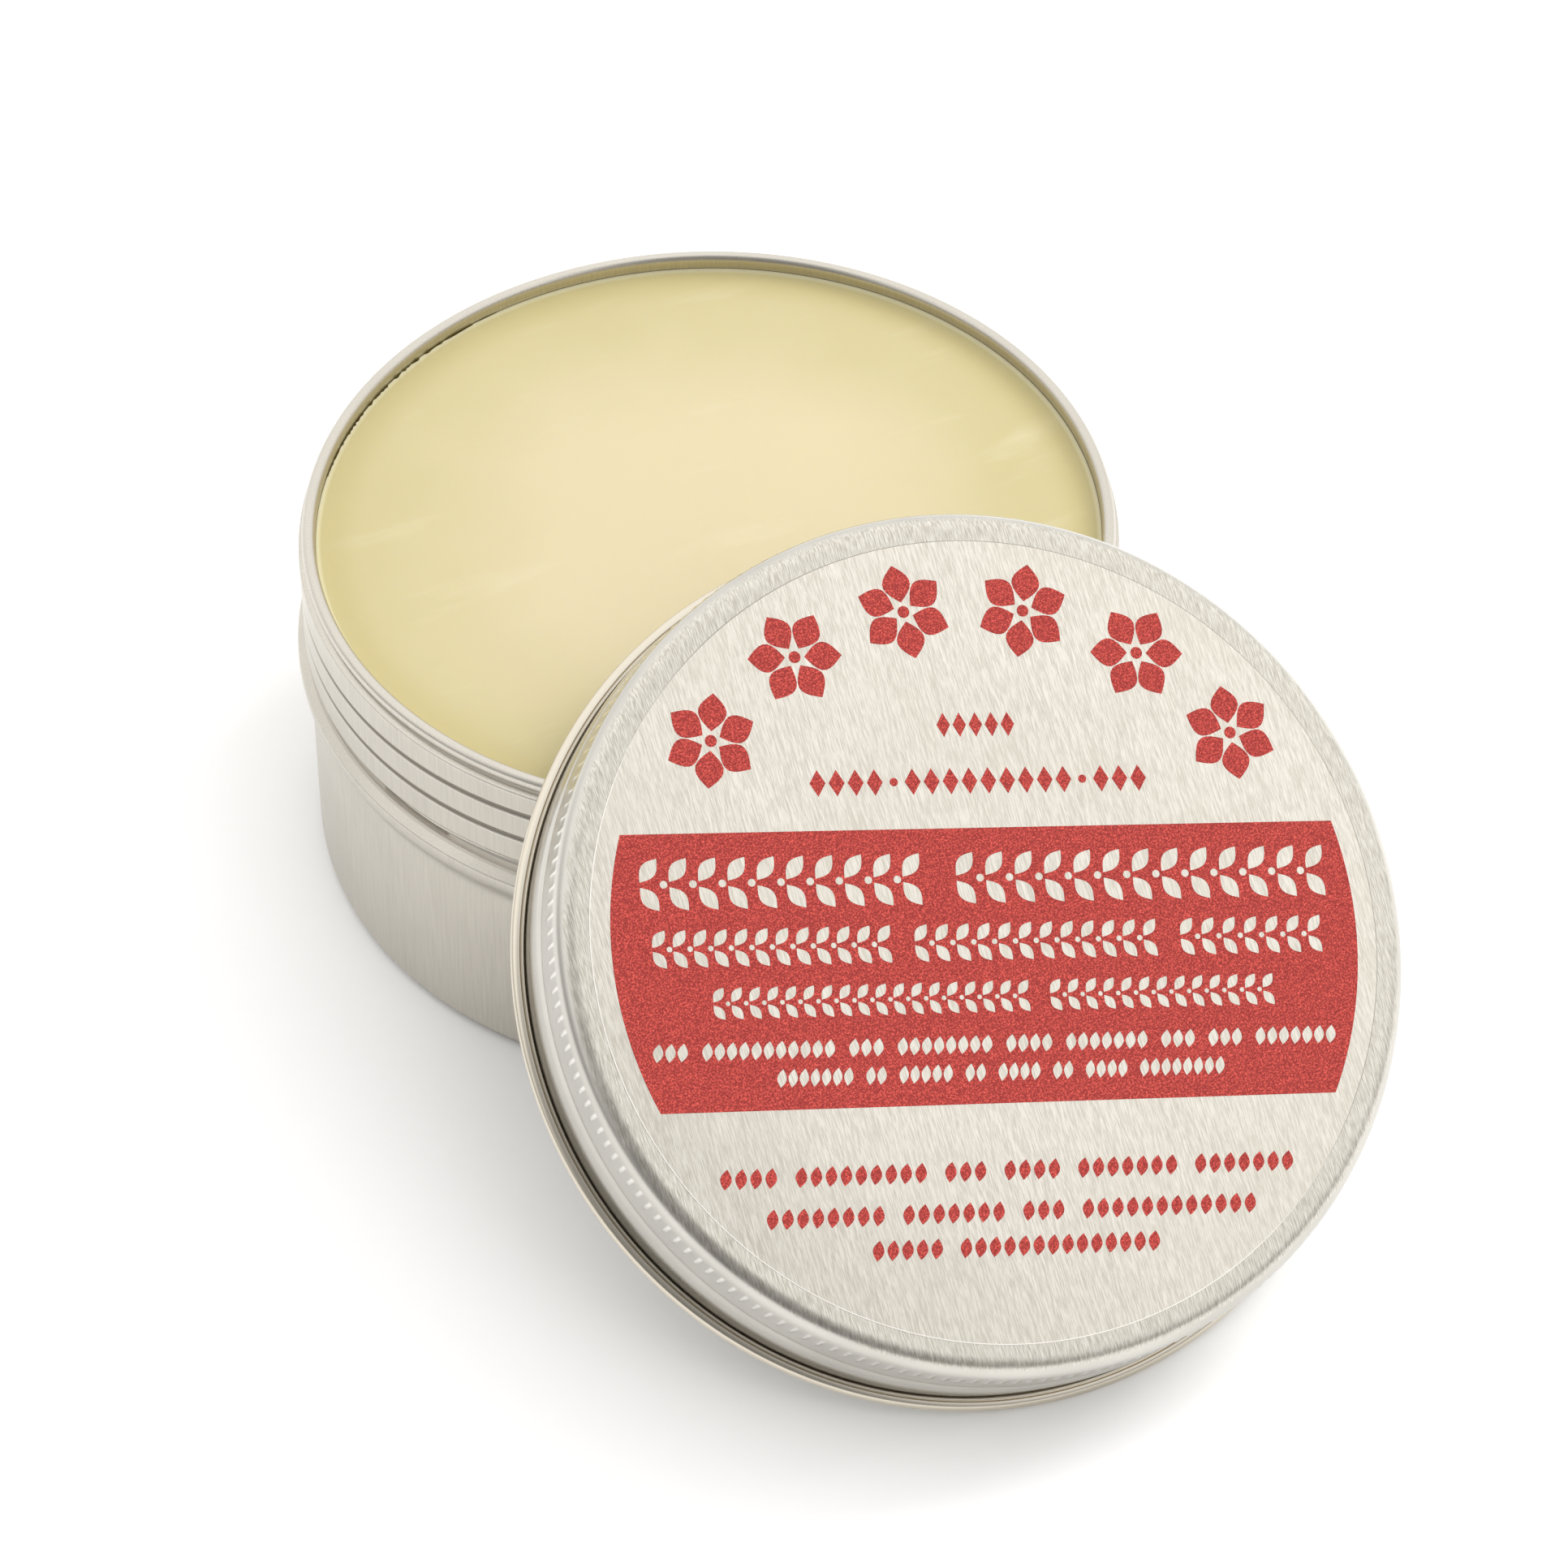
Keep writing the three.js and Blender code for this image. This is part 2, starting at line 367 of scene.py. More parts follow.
def lid_bend(radius, height, angle):
    """Raises the knurl's ribs on the outside of the lid, and rolls the thread into its inside."""
    if radius > LID["wall_r"] - SHEET * 0.9:
        low, high = KNURL["low"], KNURL["high"] + 0.3
        if not low < height < high:
            return radius, height
        share = (angle * KNURL["ribs"] / (2 * math.pi)) % 1.0
        share = min(share, 1 - share)
        section = 0.5 + 0.5 * math.cos(math.pi * min(1.0, share / KNURL["half_width"]))
        lengthwise = math.sin(math.pi * (height - low) / (high - low))
        return radius + KNURL["height"] * section * lengthwise, height
    if radius > LID["wall_r"] - 2 * SHEET:
        low, high = LID["band_low"] - 0.4, LID["band_high"] + 0.4
        return radius - groove(angle, height, low, high, LID_THREAD_PHASE), height
    return radius, height


def liner_outline():
    """The foam disc, from the middle of its underside to the middle of its top."""
    low = LINER["top"] - LINER["thickness"]
    rounding = 0.3
    edge = (LINER["r"] - rounding, low + rounding)
    outline = [(0, low), (LINER["r"] / 2, low)] + arc(edge, rounding, rounding, -90, 0, 4)
    return outline + [(LINER["r"], LINER["top"]), (0, LINER["top"])]


def liner_bend(radius, height, _angle):
    """The rim has pressed a shallow ring into the underside of the foam."""
    low = LINER["top"] - LINER["thickness"]
    if height >= low + 0.2:
        return radius, height
    rim_r, half_width, depth = (TIN["mouth_r"] + TIN["curl_r"]) / 2, 0.5, 0.25
    return radius, height + depth * math.exp(-(((radius - rim_r) / half_width) ** 2))


def label_outline():
    """The film, a thin disc with a rounded upper edge."""
    radius, top, edge = LABEL["r"], LABEL["thickness"], LABEL["edge_r"]
    outline = [(0, 0.0), (radius / 2, 0.0), (radius, 0.0), (radius, top - edge)]
    outline += arc((radius - edge, top - edge), edge, edge, 0, 90, 4)[1:]
    return outline + [(radius / 2, top), (0, top)]


# ---------------------------------------------------------------- print on the label
LEAF_STEPS = 9


def placed(loop, centre, turn):
    """An outline turned about the origin and then moved to a centre."""
    cos, sin = math.cos(turn), math.sin(turn)
    return [(centre[0] + x * cos - y * sin, centre[1] + x * sin + y * cos) for x, y in loop]


def leaf(centre, length, width, turn):
    """A pointed leaf, as a closed outline of two equal curves between its tips."""
    side = []
    for i in range(LEAF_STEPS):
        t = i / LEAF_STEPS
        side.append((length * (t - 0.5), width / 2 * math.sin(math.pi * t)))
    return placed(side + [(-x, -y) for x, y in side], centre, turn)


def lozenge(centre, width, height):
    return placed([(-width / 2, 0), (0, height / 2), (width / 2, 0), (0, -height / 2)], centre, 0)


def dot(centre, radius):
    return [(centre[0] + radius * math.cos(a), centre[1] + radius * math.sin(a)) for a in even_angles(12)]


def twig(left, right, low, high):
    """A row of leaf pairs with berries between them, filling a box."""
    height = high - low
    middle = (low + high) / 2
    count = round((right - left) / (0.56 * height))
    pitch = (right - left) / count
    loops = []
    for i in range(count):
        x = left + pitch * (i + 0.5)
        for side in (1, -1):
            turn = side * math.radians(52)
            loops.append(leaf((x, middle + side * 0.27 * height), 0.56 * height, 0.3 * height, turn))
        if i:
            loops.append(dot((x - pitch / 2, middle), 0.075 * height))
    return loops


def grains(left, right, low, high, groups):
    """Groups of slanted grains, as a row of small print has words. groups counts the grains of each."""
    cells = sum(groups) + len(groups) - 1
    pitch = (right - left) / cells
    height = high - low
    loops = []
    cell = 0
    for group in groups:
        for _ in range(group):
            centre = (left + pitch * (cell + 0.5), (low + high) / 2)
            loops.append(leaf(centre, height, min(0.56 * height, 0.84 * pitch), math.radians(78)))
            cell += 1
        cell += 1
    return loops


def lozenges(left, right, low, high, groups):
    """Groups of lozenges parted by dots."""
    cells = sum(groups) + len(groups) - 1
    pitch = (right - left) / cells
    loops = []
    cell = 0
    for group in groups:
        if cell:
            loops.append(dot((left + pitch * (cell - 0.5), (low + high) / 2), 0.16 * (high - low)))
        for _ in range(group):
            centre = (left + pitch * (cell + 0.5), (low + high) / 2)
            loops.append(lozenge(centre, 0.84 * pitch, high - low))
            cell += 1
        cell += 1
    return loops


def rosette(base_r, angle):
    """Six petals round a dot, on a circle about the label's centre."""
    middle = (0, 4.0)
    loops = [dot(middle, 0.6)]
    for petal in range(6):
        heading = math.radians(90 + 60 * petal)
        reach, length, width = 2.8, 3.7, 2.8
        centre = (reach * math.cos(heading), middle[1] + reach * math.sin(heading))
        loops.append(leaf(centre, length, width, heading))
    foot = (base_r * math.cos(angle), base_r * math.sin(angle))
    return [placed(loop, foot, angle - math.pi / 2) for loop in loops]


def band_edge():
    """The band's outline: two straight edges between arcs about the label's centre."""
    radius = BAND["r"]
    start, end = math.asin(BAND["low"] / radius), math.asin(BAND["high"] / radius)
    steps = 24
    right = [start + (end - start) * i / steps for i in range(steps + 1)]
    left = [math.pi - angle for angle in reversed(right)]
    return [(radius * math.cos(a), radius * math.sin(a)) for a in right + left]


def printed_loops():
    """All outlines of the ink. Those inside the band are left bare."""
    loops = []
    for i in range(ARCH["motifs"]):
        loops += rosette(ARCH["foot_r"], math.radians(ARCH["start_deg"] + ARCH["step_deg"] * i))
    loops += lozenges(-3.7, 4.3, 19.5, 21.9, (5,))
    loops += lozenges(-16.7, 17.1, 13.9, 16.5, (4, 9, 3))
    loops.append(band_edge())
    for left, right in ((-34.3, -5.8), (-3.4, 34.7)):
        loops += twig(left, right, 3.2, 8.3)
    for left, right in ((-33.3, -9.4), (-7.8, 17.0), (18.6, 33.7)):
        loops += twig(left, right, -2.3, 1.4)
    for left, right in ((-27.8, 3.8), (5.2, 28.3)):
        loops += twig(left, right, -7.3, -4.2)
    loops += grains(-33.7, 33.9, -11.2, -9.4, (3, 11, 3, 8, 4, 7, 3, 3, 7))
    loops += grains(-21.9, 22.4, -13.9, -12.1, (7, 2, 5, 2, 4, 2, 4, 8))
    loops += grains(-28.2, 28.5, -23.4, -21.4, (4, 9, 3, 4, 7, 7))
    loops += grains(-24.0, 24.4, -27.3, -25.3, (8, 7, 3, 12))
    loops += grains(-14.0, 14.5, -30.6, -28.6, (5, 14))
    return loops


def printed_ink():
    """The red print, as one thin layer of ink with its bare shapes cut out."""
    curve = bpy.data.curves.new("label_print", "CURVE")
    curve.dimensions = "2D"
    curve.fill_mode = "BOTH"
    curve.extrude = INK_THICKNESS / 2 * MM
    for loop in printed_loops():
        spline = curve.splines.new("POLY")
        spline.points.add(len(loop) - 1)
        for point, (x, y) in zip(spline.points, loop):
            point.co = (x * MM, y * MM, 0, 1)
        spline.use_cyclic_u = True
    drawn = bpy.data.objects.new("label_print_curve", curve)
    bpy.context.scene.collection.objects.link(drawn)
    bpy.context.view_layer.update()
    mesh = bpy.data.meshes.new_from_object(drawn.evaluated_get(bpy.context.evaluated_depsgraph_get()))
    bpy.data.objects.remove(drawn)
    mesh.name = "label_print"
    mesh.materials.clear()
    work = bmesh.new()
    work.from_mesh(mesh)
    bmesh.ops.remove_doubles(work, verts=work.verts, dist=0.001 * MM)
    work.to_mesh(mesh)
    work.free()
    lift = LABEL["thickness"] + INK_THICKNESS / 2 - INK_SINK
    mesh.transform(Matrix.Translation((0, 0, lift * MM)) @ Matrix.Rotation(PRINT_TURN, 4, "Z"))
    return shown("label_print", mesh)


# ---------------------------------------------------------------- materials
def srgb(red, green, blue):
    """A display colour of 0 to 255 as the linear colour that shaders take."""
    linear = []
    for value in (red / 255, green / 255, blue / 255):
        linear.append(value / 12.92 if value <= 0.04045 else ((value + 0.055) / 1.055) ** 2.4)
    return (*linear, 1.0)


def node(tree, kind, inputs=None, **settings):
    """Adds a node. inputs holds a value or another node's output for each socket."""
    made = tree.nodes.new("ShaderNode" + kind)
    for name, value in settings.items():
        setattr(made, name, value)
    for socket, value in (inputs or {}).items():
        if isinstance(value, bpy.types.NodeSocket):
            tree.links.new(value, made.inputs[socket])
        else:
            made.inputs[socket].default_value = value
    return made


def maths(tree, operation, first, second=0.0):
    return node(tree, "Math", {0: first, 1: second}, operation=operation).outputs[0]


def new_material(name, **sockets):
    """A material whose even values are set on the shader's own sockets."""
    made = bpy.data.materials.new(name)
    made.use_nodes = True
    shader = made.node_tree.nodes["Principled BSDF"]
    for socket, value in sockets.items():
        shader.inputs[socket.replace("_", " ")].default_value = value
    return made, made.node_tree, shader


def millimetres(tree):
    """Object coordinates in millimetres, and their separate axes."""
    place = node(tree, "TexCoord").outputs["Object"]
    vector = node(tree, "VectorMath", {0: place, "Scale": 1 / MM}, operation="SCALE").outputs[0]
    return vector, node(tree, "SeparateXYZ", {0: vector}).outputs


def noise(tree, vector, scale, stretch=(1, 1, 1), detail=2.0, roughness=0.5):
    """Noise whose features are about 1 / scale millimetres, drawn out by 1 / stretch along each axis."""
    stretched = node(tree, "VectorMath", {0: vector, 1: stretch}, operation="MULTIPLY").outputs[0]
    sockets = {"Vector": stretched, "Scale": scale, "Detail": detail, "Roughness": roughness}
    return node(tree, "TexNoise", sockets).outputs[0]


def remap(tree, value, low, high, new_low=0.0, new_high=1.0, smooth=False):
    kind = "SMOOTHSTEP" if smooth else "LINEAR"
    sockets = {"Value": value, "From Min": low, "From Max": high, "To Min": new_low, "To Max": new_high}
    return node(tree, "MapRange", sockets, interpolation_type=kind).outputs[0]


def blend(tree, share, first, second):
    """Mixes two colours, or two outputs that carry colours."""
    sockets = {"Factor": share, "A": first, "B": second}
    made = node(tree, "Mix", data_type="RGBA")
    for name, value in sockets.items():
        socket = next(s for s in made.inputs if s.name == name and s.enabled)
        if isinstance(value, bpy.types.NodeSocket):
            tree.links.new(value, socket)
        else:
            socket.default_value = value
    return next(s for s in made.outputs if s.enabled)


def bumped(tree, shader, height, distance_mm, strength=1.0, normal=None):
    sockets = {"Height": height, "Distance": distance_mm * MM, "Strength": strength}
    if normal:
        sockets["Normal"] = normal
    out = node(tree, "Bump", sockets).outputs[0]
    tree.links.new(out, shader.inputs["Normal"])
    return out


def link(tree, output, shader, socket):
    tree.links.new(output, shader.inputs[socket])


def window(tree, value, rise, fall, smooth=False):
    """1 between a rise and a fall, each given as the values where it starts and ends, and 0 outside."""
    rising = remap(tree, value, *rise, smooth=smooth)
    falling = remap(tree, value, *fall, 1.0, 0.0, smooth=smooth)
    return maths(tree, "MULTIPLY", rising, falling)


def along(tree, vector, direction):
    """How far a vector reaches along a direction."""
    return node(tree, "VectorMath", {0: vector, 1: direction}, operation="DOT_PRODUCT").outputs["Value"]


def on_plan(tree, x, y):
    """A spot's place on plan, and its distance from the axis."""
    flat = node(tree, "CombineXYZ", {0: x, 1: y}).outputs[0]
    return flat, node(tree, "VectorMath", {0: flat}, operation="LENGTH").outputs["Value"]


def shine_round_axis(tree, shader):
    """Stretches the anisotropic highlights the way a turned piece shows them."""
    tangent = node(tree, "Tangent", direction_type="RADIAL", axis="Z").outputs[0]
    link(tree, tangent, shader, "Tangent")


def thread_painted_shade(tree, x, y, z):
    """How much painted shade darkens the thread's grooves and the crease under the rim, from 0 to 1."""
    pitch = THREAD["lead"] / THREAD["starts"]
    turn = maths(tree, "MULTIPLY", maths(tree, "ARCTAN2", y, x), THREAD["lead"] / (2 * math.pi))
    above_start = maths(tree, "SUBTRACT", z, maths(tree, "ADD", turn, TIN_THREAD_PHASE))
    rise = maths(tree, "DIVIDE", above_start, pitch)
    offset = maths(tree, "ABSOLUTE", maths(tree, "SUBTRACT", rise, maths(tree, "ROUND", rise)))
    in_groove = remap(tree, offset, 0.14 / pitch, 0.36 / pitch, 1.0, 0.0, smooth=True)
    low, high = TIN["neck_low"], TIN["neck_high"]
    on_neck = window(tree, z, (low + 0.1, low + 0.4), (high - 0.8, high - 0.4))
    most_in_groove, most_in_crease = 0.85, 0.6
    in_thread = maths(tree, "MULTIPLY", maths(tree, "MULTIPLY", in_groove, on_neck), most_in_groove)
    off_crease = maths(tree, "ABSOLUTE", maths(tree, "SUBTRACT", z, TIN["crease"]))
    in_crease = remap(tree, off_crease, 0.02, 0.16, most_in_crease, 0.0, smooth=True)
    return maths(tree, "MAXIMUM", in_thread, in_crease)


def tin_metal():
    made, tree, shader = new_material("tin_satin_aluminium", Metallic=1.0, Anisotropic=0.35)
    vector, (x, y, z) = millimetres(tree)
    drawn = noise(tree, vector, 5.0, (1, 1, 0.03), detail=3.0)  # lines up the wall
    fine = noise(tree, vector, 14.0, (1, 1, 0.05), detail=1.0)
    cloud = noise(tree, vector, 0.09, detail=3.0)
    _, radius = on_plan(tree, x, y)
    profile = node(tree, "CombineXYZ", {0: radius, 2: z}).outputs[0]
    rolled = noise(tree, profile, 5.5, detail=2.0)  # lines round the rim

    dark, light = srgb(195, 190, 180), srgb(207, 202, 192)
    dull, in_shade, groove_shade = srgb(192, 187, 178), srgb(182, 176, 166), srgb(122, 114, 102)
    colour = blend(tree, remap(tree, drawn, 0.3, 0.7), dark, light)
    colour = blend(tree, remap(tree, cloud, 0.3, 0.7, 0.0, 0.35), colour, dull)
    bead_edge, neck_low = TIN["bead_edge"], TIN["neck_low"]
    # Painted shade on the plain ring between the bead and the neck.
    in_recess = window(tree, z, (bead_edge - 0.04, bead_edge + 0.02), (neck_low - 0.2, neck_low + 0.15))
    colour = blend(tree, in_recess, colour, in_shade)
    # Painted shade in the thread's grooves and in the crease under the rim.
    colour = blend(tree, thread_painted_shade(tree, x, y, z), colour, groove_shade)
    link(tree, colour, shader, "Base Color")
    link(tree, remap(tree, cloud, 0.3, 0.7, 0.3, 0.38), shader, "Roughness")

    on_curl = remap(tree, z, TIN["crease"], TIN["crease"] + 0.3)
    lines = node(tree, "Mix", {0: on_curl, 2: fine, 3: rolled}).outputs[0]
    surface = bumped(tree, shader, lines, 0.004)
    bumped(tree, shader, drawn, 0.01, normal=surface)
    shine_round_axis(tree, shader)
    return made


def brushing(tree, vector, seed):
    """Two grades of straight brush marks across a face, as (fine, broad)."""
    turned_vector = node(
        tree, "VectorRotate", {"Vector": vector, "Angle": -BRUSH_TURN}, rotation_type="Z_AXIS"
    ).outputs[0]
    shifted = node(tree, "VectorMath", {0: turned_vector, 1: (seed, seed, 0)}, operation="ADD").outputs[0]
    fine = noise(tree, shifted, 9.0, (0.08, 1, 0.4), detail=2.0, roughness=0.6)
    broad = noise(tree, shifted, 1.8, (0.06, 1, 0.4), detail=2.0)
    return fine, broad


def facing(tree, x, y, turn):
    """How near a spot's direction from the axis is to a turn: 1 towards it and -1 on the far side."""
    spot = node(tree, "CombineXYZ", {0: x, 1: y}).outputs[0]
    heading = node(tree, "VectorMath", {0: spot}, operation="NORMALIZE").outputs[0]
    return along(tree, heading, (math.cos(turn), math.sin(turn), 0))


def rib_painted_highlight(tree, x, y, z):
    """How strong the painted highlight is on the crests of the knurl's ribs, strongest round one side of the
    lid, from 0 to 1.
    """
    turns = maths(tree, "MULTIPLY", maths(tree, "ARCTAN2", y, x), KNURL["ribs"])
    on_crest = remap(tree, maths(tree, "COSINE", turns), 0.35, 0.9, smooth=True)
    least, most = 0.3, 1.0
    near_brightest = facing(tree, x, y, RIB_HIGHLIGHT_TURN)
    round_lid = remap(tree, near_brightest, 0.2, 0.85, least, most, smooth=True)
    low, high = KNURL["low"], KNURL["high"]
    on_ribs = window(tree, z, (low + 0.2, low + 1.2), (high, high + 0.4), smooth=True)
    return maths(tree, "MULTIPLY", maths(tree, "MULTIPLY", on_crest, round_lid), on_ribs)


def lid_metal():
    made, tree, shader = new_material("lid_brushed_aluminium", Metallic=1.0, Anisotropic=0.35)
    vector, (x, y, z) = millimetres(tree)
    fine, broad = brushing(tree, vector, LID_BRUSH_SEED)
    cloud = noise(tree, vector, 0.08, detail=3.0)
    satin = noise(tree, vector, 12.0, (1, 1, 0.06), detail=2.0)
    ragged = maths(tree, "ADD", z, remap(tree, broad, 0.3, 0.7, -0.16, 0.16))
    face = remap(tree, ragged, -0.6, -0.2, smooth=True)  # the brushing stops at the shoulder

    face_dark, face_light = srgb(178, 173, 162), srgb(220, 216, 207)
    side_dark, side_light = srgb(189, 186, 179), srgb(201, 198, 191)
    rib_highlight, lip = srgb(240, 238, 232), srgb(212, 204, 189)
    face_colour = blend(tree, remap(tree, fine, 0.36, 0.64), face_dark, face_light)
    side_colour = blend(tree, remap(tree, cloud, 0.3, 0.7), side_dark, side_light)
    # Painted highlight on the crests of the knurl's ribs.
    side_colour = blend(tree, rib_painted_highlight(tree, x, y, z), side_colour, rib_highlight)
    lip_top = -LID["depth"] + LID["curl_height"]
    on_lip = remap(tree, z, lip_top + 0.15, lip_top - 0.1)
    side_colour = blend(tree, on_lip, side_colour, lip)
    link(tree, blend(tree, face, side_colour, face_colour), shader, "Base Color")
    link(tree, remap(tree, face, 0.0, 1.0, 0.27, 0.36), shader, "Roughness")

    height = node(tree, "Mix", {0: face, 2: remap(tree, satin, 0, 1, 0.4, 0.6), 3: fine}).outputs[0]
    bumped(tree, shader, height, 0.005)
    shine_round_axis(tree, shader)
    return made


def label_film():
    made, tree, shader = new_material("label_brushed_film", Coat_Weight=0.15, Coat_Roughness=0.25)
    vector, (x, y, _) = millimetres(tree)
    fine, broad = brushing(tree, vector, LABEL_BRUSH_SEED)
    cloud = noise(tree, vector, 0.07, detail=3.0)
    fine_share = 0.88
    marks = maths(
        tree, "ADD",
        remap(tree, fine, 0.36, 0.64, 0.0, fine_share),
        remap(tree, broad, 0.3, 0.7, 0.0, 1 - fine_share),
    )

    dark, light, warm = srgb(190, 184, 173), srgb(228, 223, 214), srgb(206, 202, 188)
    edge_shade, edge_highlight = srgb(128, 123, 115), srgb(246, 243, 236)
    colour = blend(tree, marks, dark, light)
    colour = blend(tree, remap(tree, cloud, 0.35, 0.7, 0.0, 0.3), colour, warm)
    _, radius = on_plan(tree, x, y)
    cut_edge = remap(tree, radius, LABEL["r"] - 0.1, LABEL["r"] - 0.05)
    # Painted highlight on the cut edge towards one side, painted shade on the other.
    edge_lit_side = remap(tree, facing(tree, x, y, EDGE_LIT_TURN), -0.3, 0.4, smooth=True)
    edge_colour = blend(tree, edge_lit_side, edge_shade, edge_highlight)
    link(tree, blend(tree, cut_edge, colour, edge_colour), shader, "Base Color")
    link(tree, remap(tree, cut_edge, 0.0, 1.0, 0.85, 0.0), shader, "Metallic")
    link(tree, remap(tree, fine, 0.2, 0.8, 0.34, 0.44), shader, "Roughness")
    bumped(tree, shader, fine, 0.005)
    return made


def red_ink():
    """Ink printed through a fine screen, so the film shows through it as dots and grit."""
    made, tree, shader = new_material("label_red_ink", Metallic=0.35, Coat_Weight=0.05, Coat_Roughness=0.3)
    vector, _ = millimetres(tree)
    screen_pitch, screen_turn = 0.24, math.radians(28)
    tilted = node(tree, "VectorRotate", {"Vector": vector, "Angle": screen_turn}, rotation_type="Z_AXIS")
    wave = 2 * math.pi / screen_pitch
    axes = node(tree, "SeparateXYZ", {0: tilted.outputs[0]}).outputs
    across = maths(tree, "SINE", maths(tree, "MULTIPLY", axes[0], wave))
    along_it = maths(tree, "SINE", maths(tree, "MULTIPLY", axes[1], wave))
    screen = maths(tree, "MULTIPLY", across, along_it)
    grit = noise(tree, vector, 5.5, detail=2.0, roughness=0.9)
    screen_share, grit_share = 0.25, 0.75
    dots = maths(
        tree, "ADD",
        remap(tree, screen, -1, 1, 0, screen_share),
        remap(tree, grit, 0.46, 0.66, 0, grit_share),
    )
    link(tree, blend(tree, dots, srgb(116, 6, 10), srgb(236, 96, 84)), shader, "Base Color")
    link(tree, remap(tree, grit, 0.25, 0.75, 0.42, 0.55), shader, "Roughness")
    fine, _ = brushing(tree, vector, LABEL_BRUSH_SEED)
    bumped(tree, shader, fine, 0.005)
    return made


def polish_wax():
    made, tree, shader = new_material(
        "pale_polish_wax",
        Subsurface_Weight=0.35,
        Subsurface_Scale=0.004,
        Subsurface_Radius=(1.0, 0.75, 0.35),
    )
    vector, (x, y, _) = millimetres(tree)
    flat, radius = on_plan(tree, x, y)
    cloud = noise(tree, flat, 0.045, detail=2.0)
    streaks = noise(tree, flat, 0.11, (0.35, 1.6, 1), detail=4.0)

    middle, outer, streak = srgb(199, 186, 150), srgb(186, 175, 129), srgb(210, 200, 170)
    rim_shade, lip_colour = srgb(182, 168, 115), srgb(205, 194, 150)
    # Painted shade: the wax darkens from the middle out towards the rim.
    wander = maths(tree, "ADD", radius, remap(tree, cloud, 0.25, 0.75, -5, 5))
    colour = blend(tree, remap(tree, wander, 14, 39, smooth=True), middle, outer)
    colour = blend(tree, remap(tree, streaks, 0.58, 0.75, 0.0, 0.4), colour, streak)
    edge_r = WAX["edge_r"]
    # Further painted shade in the last millimetres by the rim.
    rim_painted_shade = remap(tree, radius, edge_r - 5.0, edge_r - 1.0, 0.0, 0.75, smooth=True)
    colour = blend(tree, rim_painted_shade, colour, rim_shade)
    lip = remap(tree, radius, edge_r - 0.55, edge_r - 0.25)
    link(tree, blend(tree, lip, colour, lip_colour), shader, "Base Color")
    link(tree, remap(tree, cloud, 0.3, 0.7, 0.38, 0.5), shader, "Roughness")

    swirl = noise(tree, flat, 0.35, detail=3.0)
    grain = noise(tree, vector, 3.0, detail=3.0)
    surface = bumped(tree, shader, swirl, 0.03)
    bumped(tree, shader, grain, 0.004, normal=surface)
    return made


def liner_foam():
    made, tree, shader = new_material("white_foam_liner", Roughness=0.85)
    vector, _ = millimetres(tree)
    cells = node(tree, "TexVoronoi", {"Vector": vector, "Scale": 3.2}).outputs["Distance"]
    cloud = noise(tree, vector, 0.2)
    link(tree, blend(tree, cloud, srgb(236, 236, 230), srgb(247, 247, 243)), shader, "Base Color")
    bumped(tree, shader, cells, 0.05)
    return made


# ---------------------------------------------------------------- pieces
def build_object():
    plain = even_angles(360)
    tin = turned("tin_can", tin_outline(), lambda height: plain, tin_bend)
    settled(tin, "tin", ["tin_body"], tin_metal())

    fine = even_angles(720)
    wax = turned("wax_fill", wax_outline(), lambda height: fine, wax_bend)
    settled(wax, "tin", ["wax"], polish_wax())

    lid = turned("lid_shell_brushed", lid_outline(), lid_angles, lid_bend)
    liner = turned("lid_foam_liner", liner_outline(), lambda height: plain, liner_bend)
    label = turned("lid_film_label", label_outline(), lambda height: plain)
    ink = printed_ink()
    for piece in (lid, liner, label, ink):
        piece.matrix_world = LID_PLACE
    settled(lid, "lid", ["lid_shell"], lid_metal())
    settled(liner, "liner", ["lid_liner"], liner_foam())
    settled(label, "lid", ["lid_label"], label_film())
    settled(ink, "lid", ["label_band"], red_ink())


# ---------------------------------------------------------------- stage
CAMERA_AIM = Vector((-1.3, -19.7, 20.0)) * MM
CAMERA_AZIMUTH = math.radians(-26.32)
CAMERA_ELEVATION = math.radians(45.86)
CAMERA_DISTANCE = 621.4 * MM
CAMERA_LENS = 141.3
LAMP_AIM = Vector((0, -0.03, 0.02))
WORLD_BRIGHT_SIDE = (0.6, 0.8, 0.0)
WORLD_DARK_PATCH = (math.radians(-34), math.radians(34))  # azimuth and elevation


def from_angles(azimuth, elevation):
    """Unit vector towards a place seen at an azimuth from -Y, towards +X, and at an elevation."""
    level = math.cos(elevation)
    return Vector((math.sin(azimuth) * level, -math.cos(azimuth) * level, math.sin(elevation)))


def looking(place, target):
    return (target - place).to_track_quat("-Z", "Y")


def build_camera():
    camera = bpy.data.objects.new("camera", bpy.data.cameras.new("camera"))
    camera.data.lens = CAMERA_LENS
    camera.data.sensor_width = 36
    camera.data.clip_start = 0.01
    camera.location = CAMERA_AIM + from_angles(CAMERA_AZIMUTH, CAMERA_ELEVATION) * CAMERA_DISTANCE
    camera.rotation_mode = "QUATERNION"
    camera.rotation_quaternion = looking(camera.location, CAMERA_AIM)
    bpy.context.scene.collection.objects.link(camera)
    bpy.context.scene.camera = camera


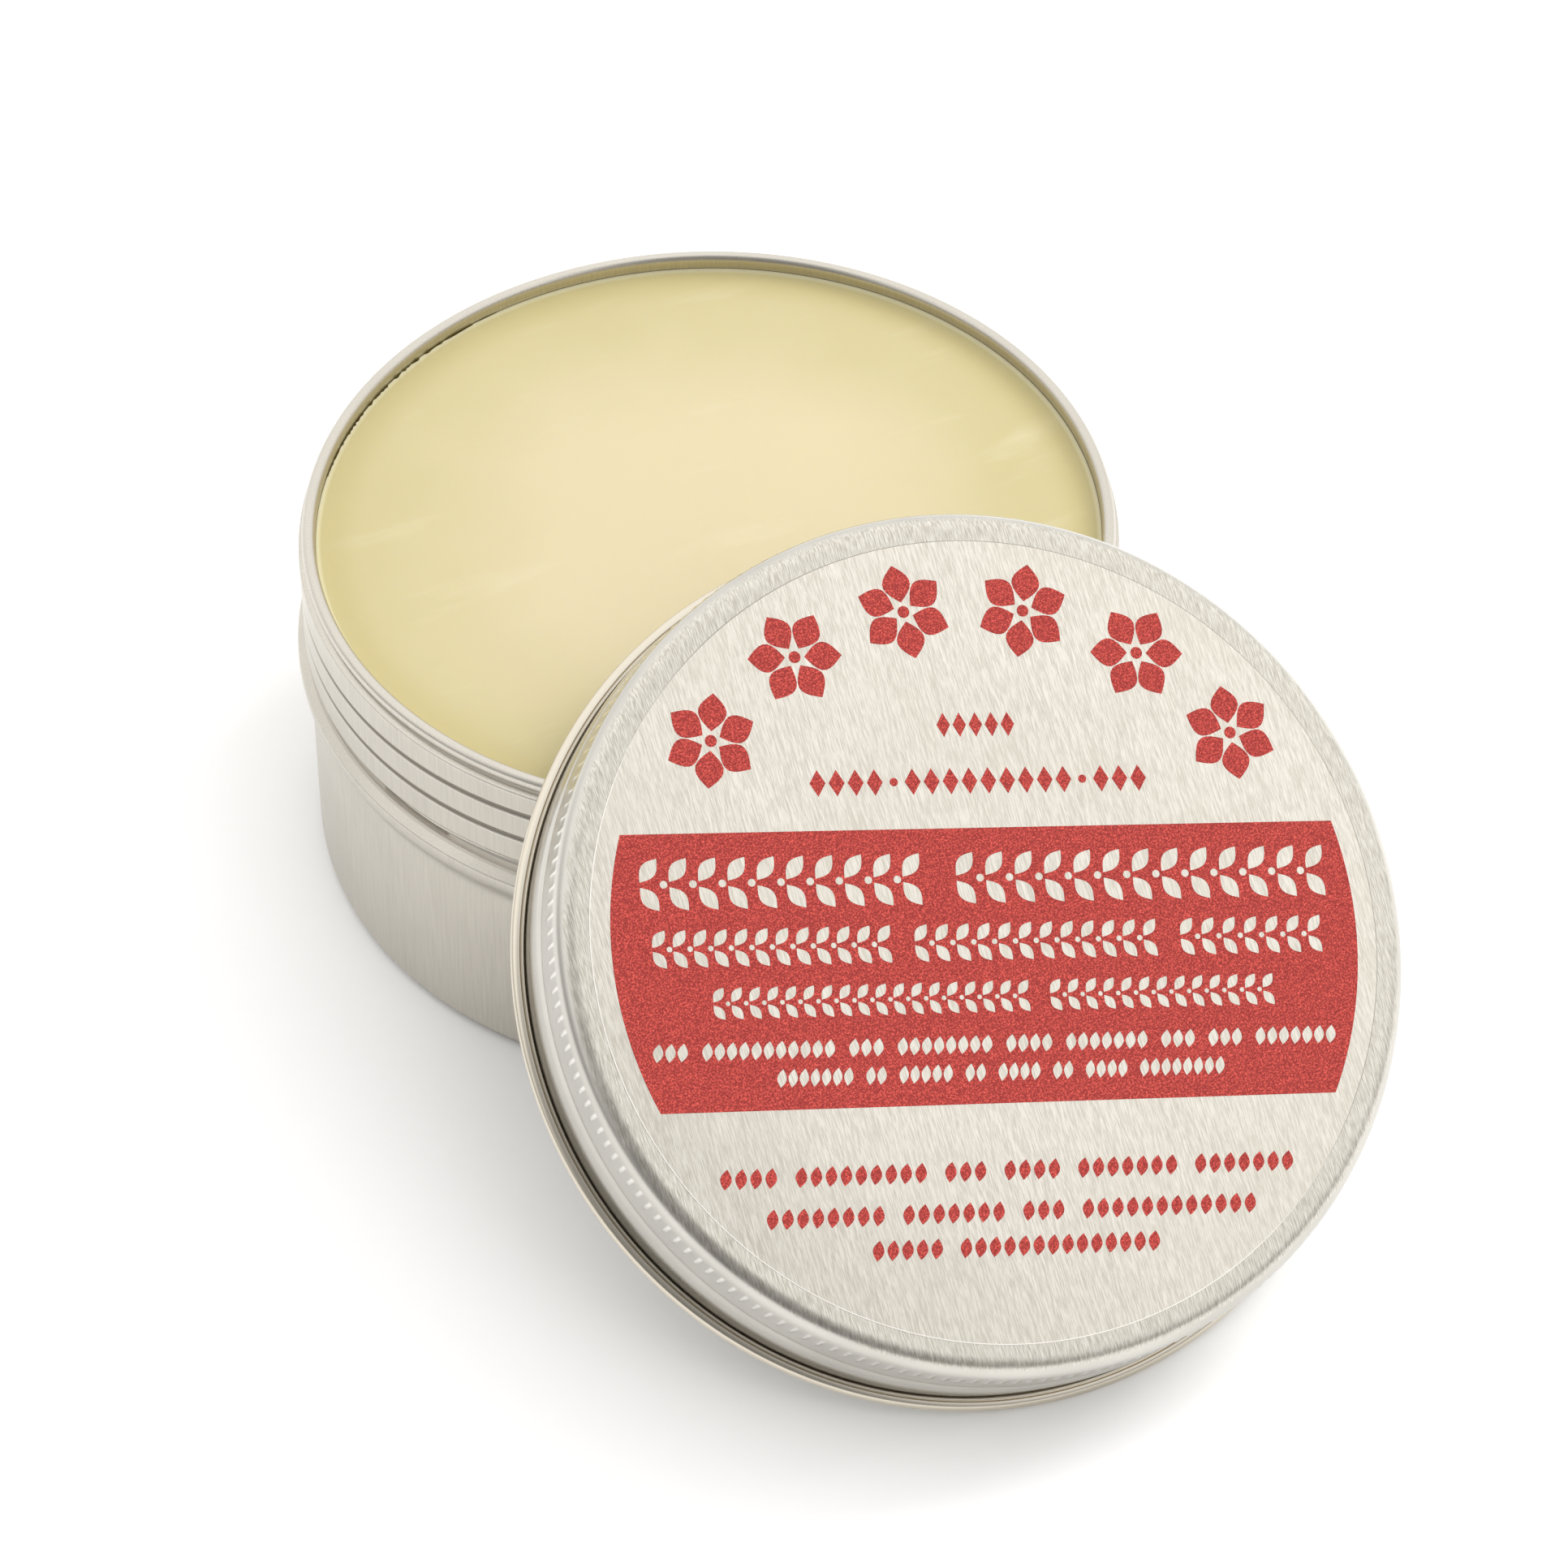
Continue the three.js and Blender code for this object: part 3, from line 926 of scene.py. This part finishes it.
def build_light(name, azimuth, elevation, distance, size, power):
    """A round soft lamp, placed by angles in degrees and aimed at the tin and lid."""
    light = bpy.data.lights.new(name, "AREA")
    light.shape = "DISK"
    light.size = size
    light.energy = power
    lamp = bpy.data.objects.new(name, light)
    lamp.location = from_angles(math.radians(azimuth), math.radians(elevation)) * distance
    lamp.rotation_mode = "QUATERNION"
    lamp.rotation_quaternion = looking(lamp.location, LAMP_AIM)
    lamp.visible_glossy = False  # the metal mirrors only the soft world
    bpy.context.scene.collection.objects.link(lamp)


def build_world():
    """A pale studio, brighter overhead than near the ground, with one dark patch near the camera."""
    world = bpy.data.worlds.new("studio")
    world.use_nodes = True
    tree = world.node_tree
    direction = node(tree, "TexCoord").outputs["Generated"]
    height = node(tree, "SeparateXYZ", {0: direction}).outputs["Z"]
    bright_side = along(tree, direction, WORLD_BRIGHT_SIDE)
    horizon = remap(tree, bright_side, -0.5, 0.6, 0.45, 1.25, smooth=True)
    overhead = 1.4
    upwards = remap(tree, height, 0.15, 0.6, smooth=True)
    strength = node(tree, "Mix", {0: upwards, 2: horizon, 3: overhead}).outputs[0]
    in_patch = along(tree, direction, tuple(from_angles(*WORLD_DARK_PATCH)))
    darkened = remap(tree, in_patch, 0.72, 0.92, 1.0, 0.25, smooth=True)
    strength = maths(tree, "MULTIPLY", strength, darkened)
    background = tree.nodes["Background"]
    background.inputs["Color"].default_value = (1.0, 0.995, 0.985, 1)
    tree.links.new(strength, background.inputs["Strength"])
    bpy.context.scene.world = world


def build_floor():
    half = 3.0  # metres
    corners = [(-half, -half, 0), (half, -half, 0), (half, half, 0), (-half, half, 0)]
    mesh = bpy.data.meshes.new("floor")
    mesh.from_pydata(corners, [], [(0, 1, 2, 3)])
    floor = bpy.data.objects.new("floor", mesh)
    bpy.context.scene.collection.objects.link(floor)
    made, tree, shader = new_material("floor_white", Roughness=0.9, Specular_IOR_Level=0.2)
    vector, _ = millimetres(tree)
    paper = noise(tree, vector, 0.4)
    link(tree, blend(tree, paper, (0.96, 0.96, 0.96, 1), (0.97, 0.97, 0.97, 1)), shader, "Base Color")
    floor.data.materials.append(made)


def build_stage():
    bpy.context.scene.view_settings.view_transform = "Standard"
    build_camera()
    build_floor()
    build_world()
    build_light("key_softbox", azimuth=94, elevation=38, distance=1.1, size=0.6, power=5.6)
    build_light("fill_softbox", azimuth=-4, elevation=50, distance=1.2, size=0.9, power=3.0)


build_stage()
build_object()

bpy.context.view_layer.update()
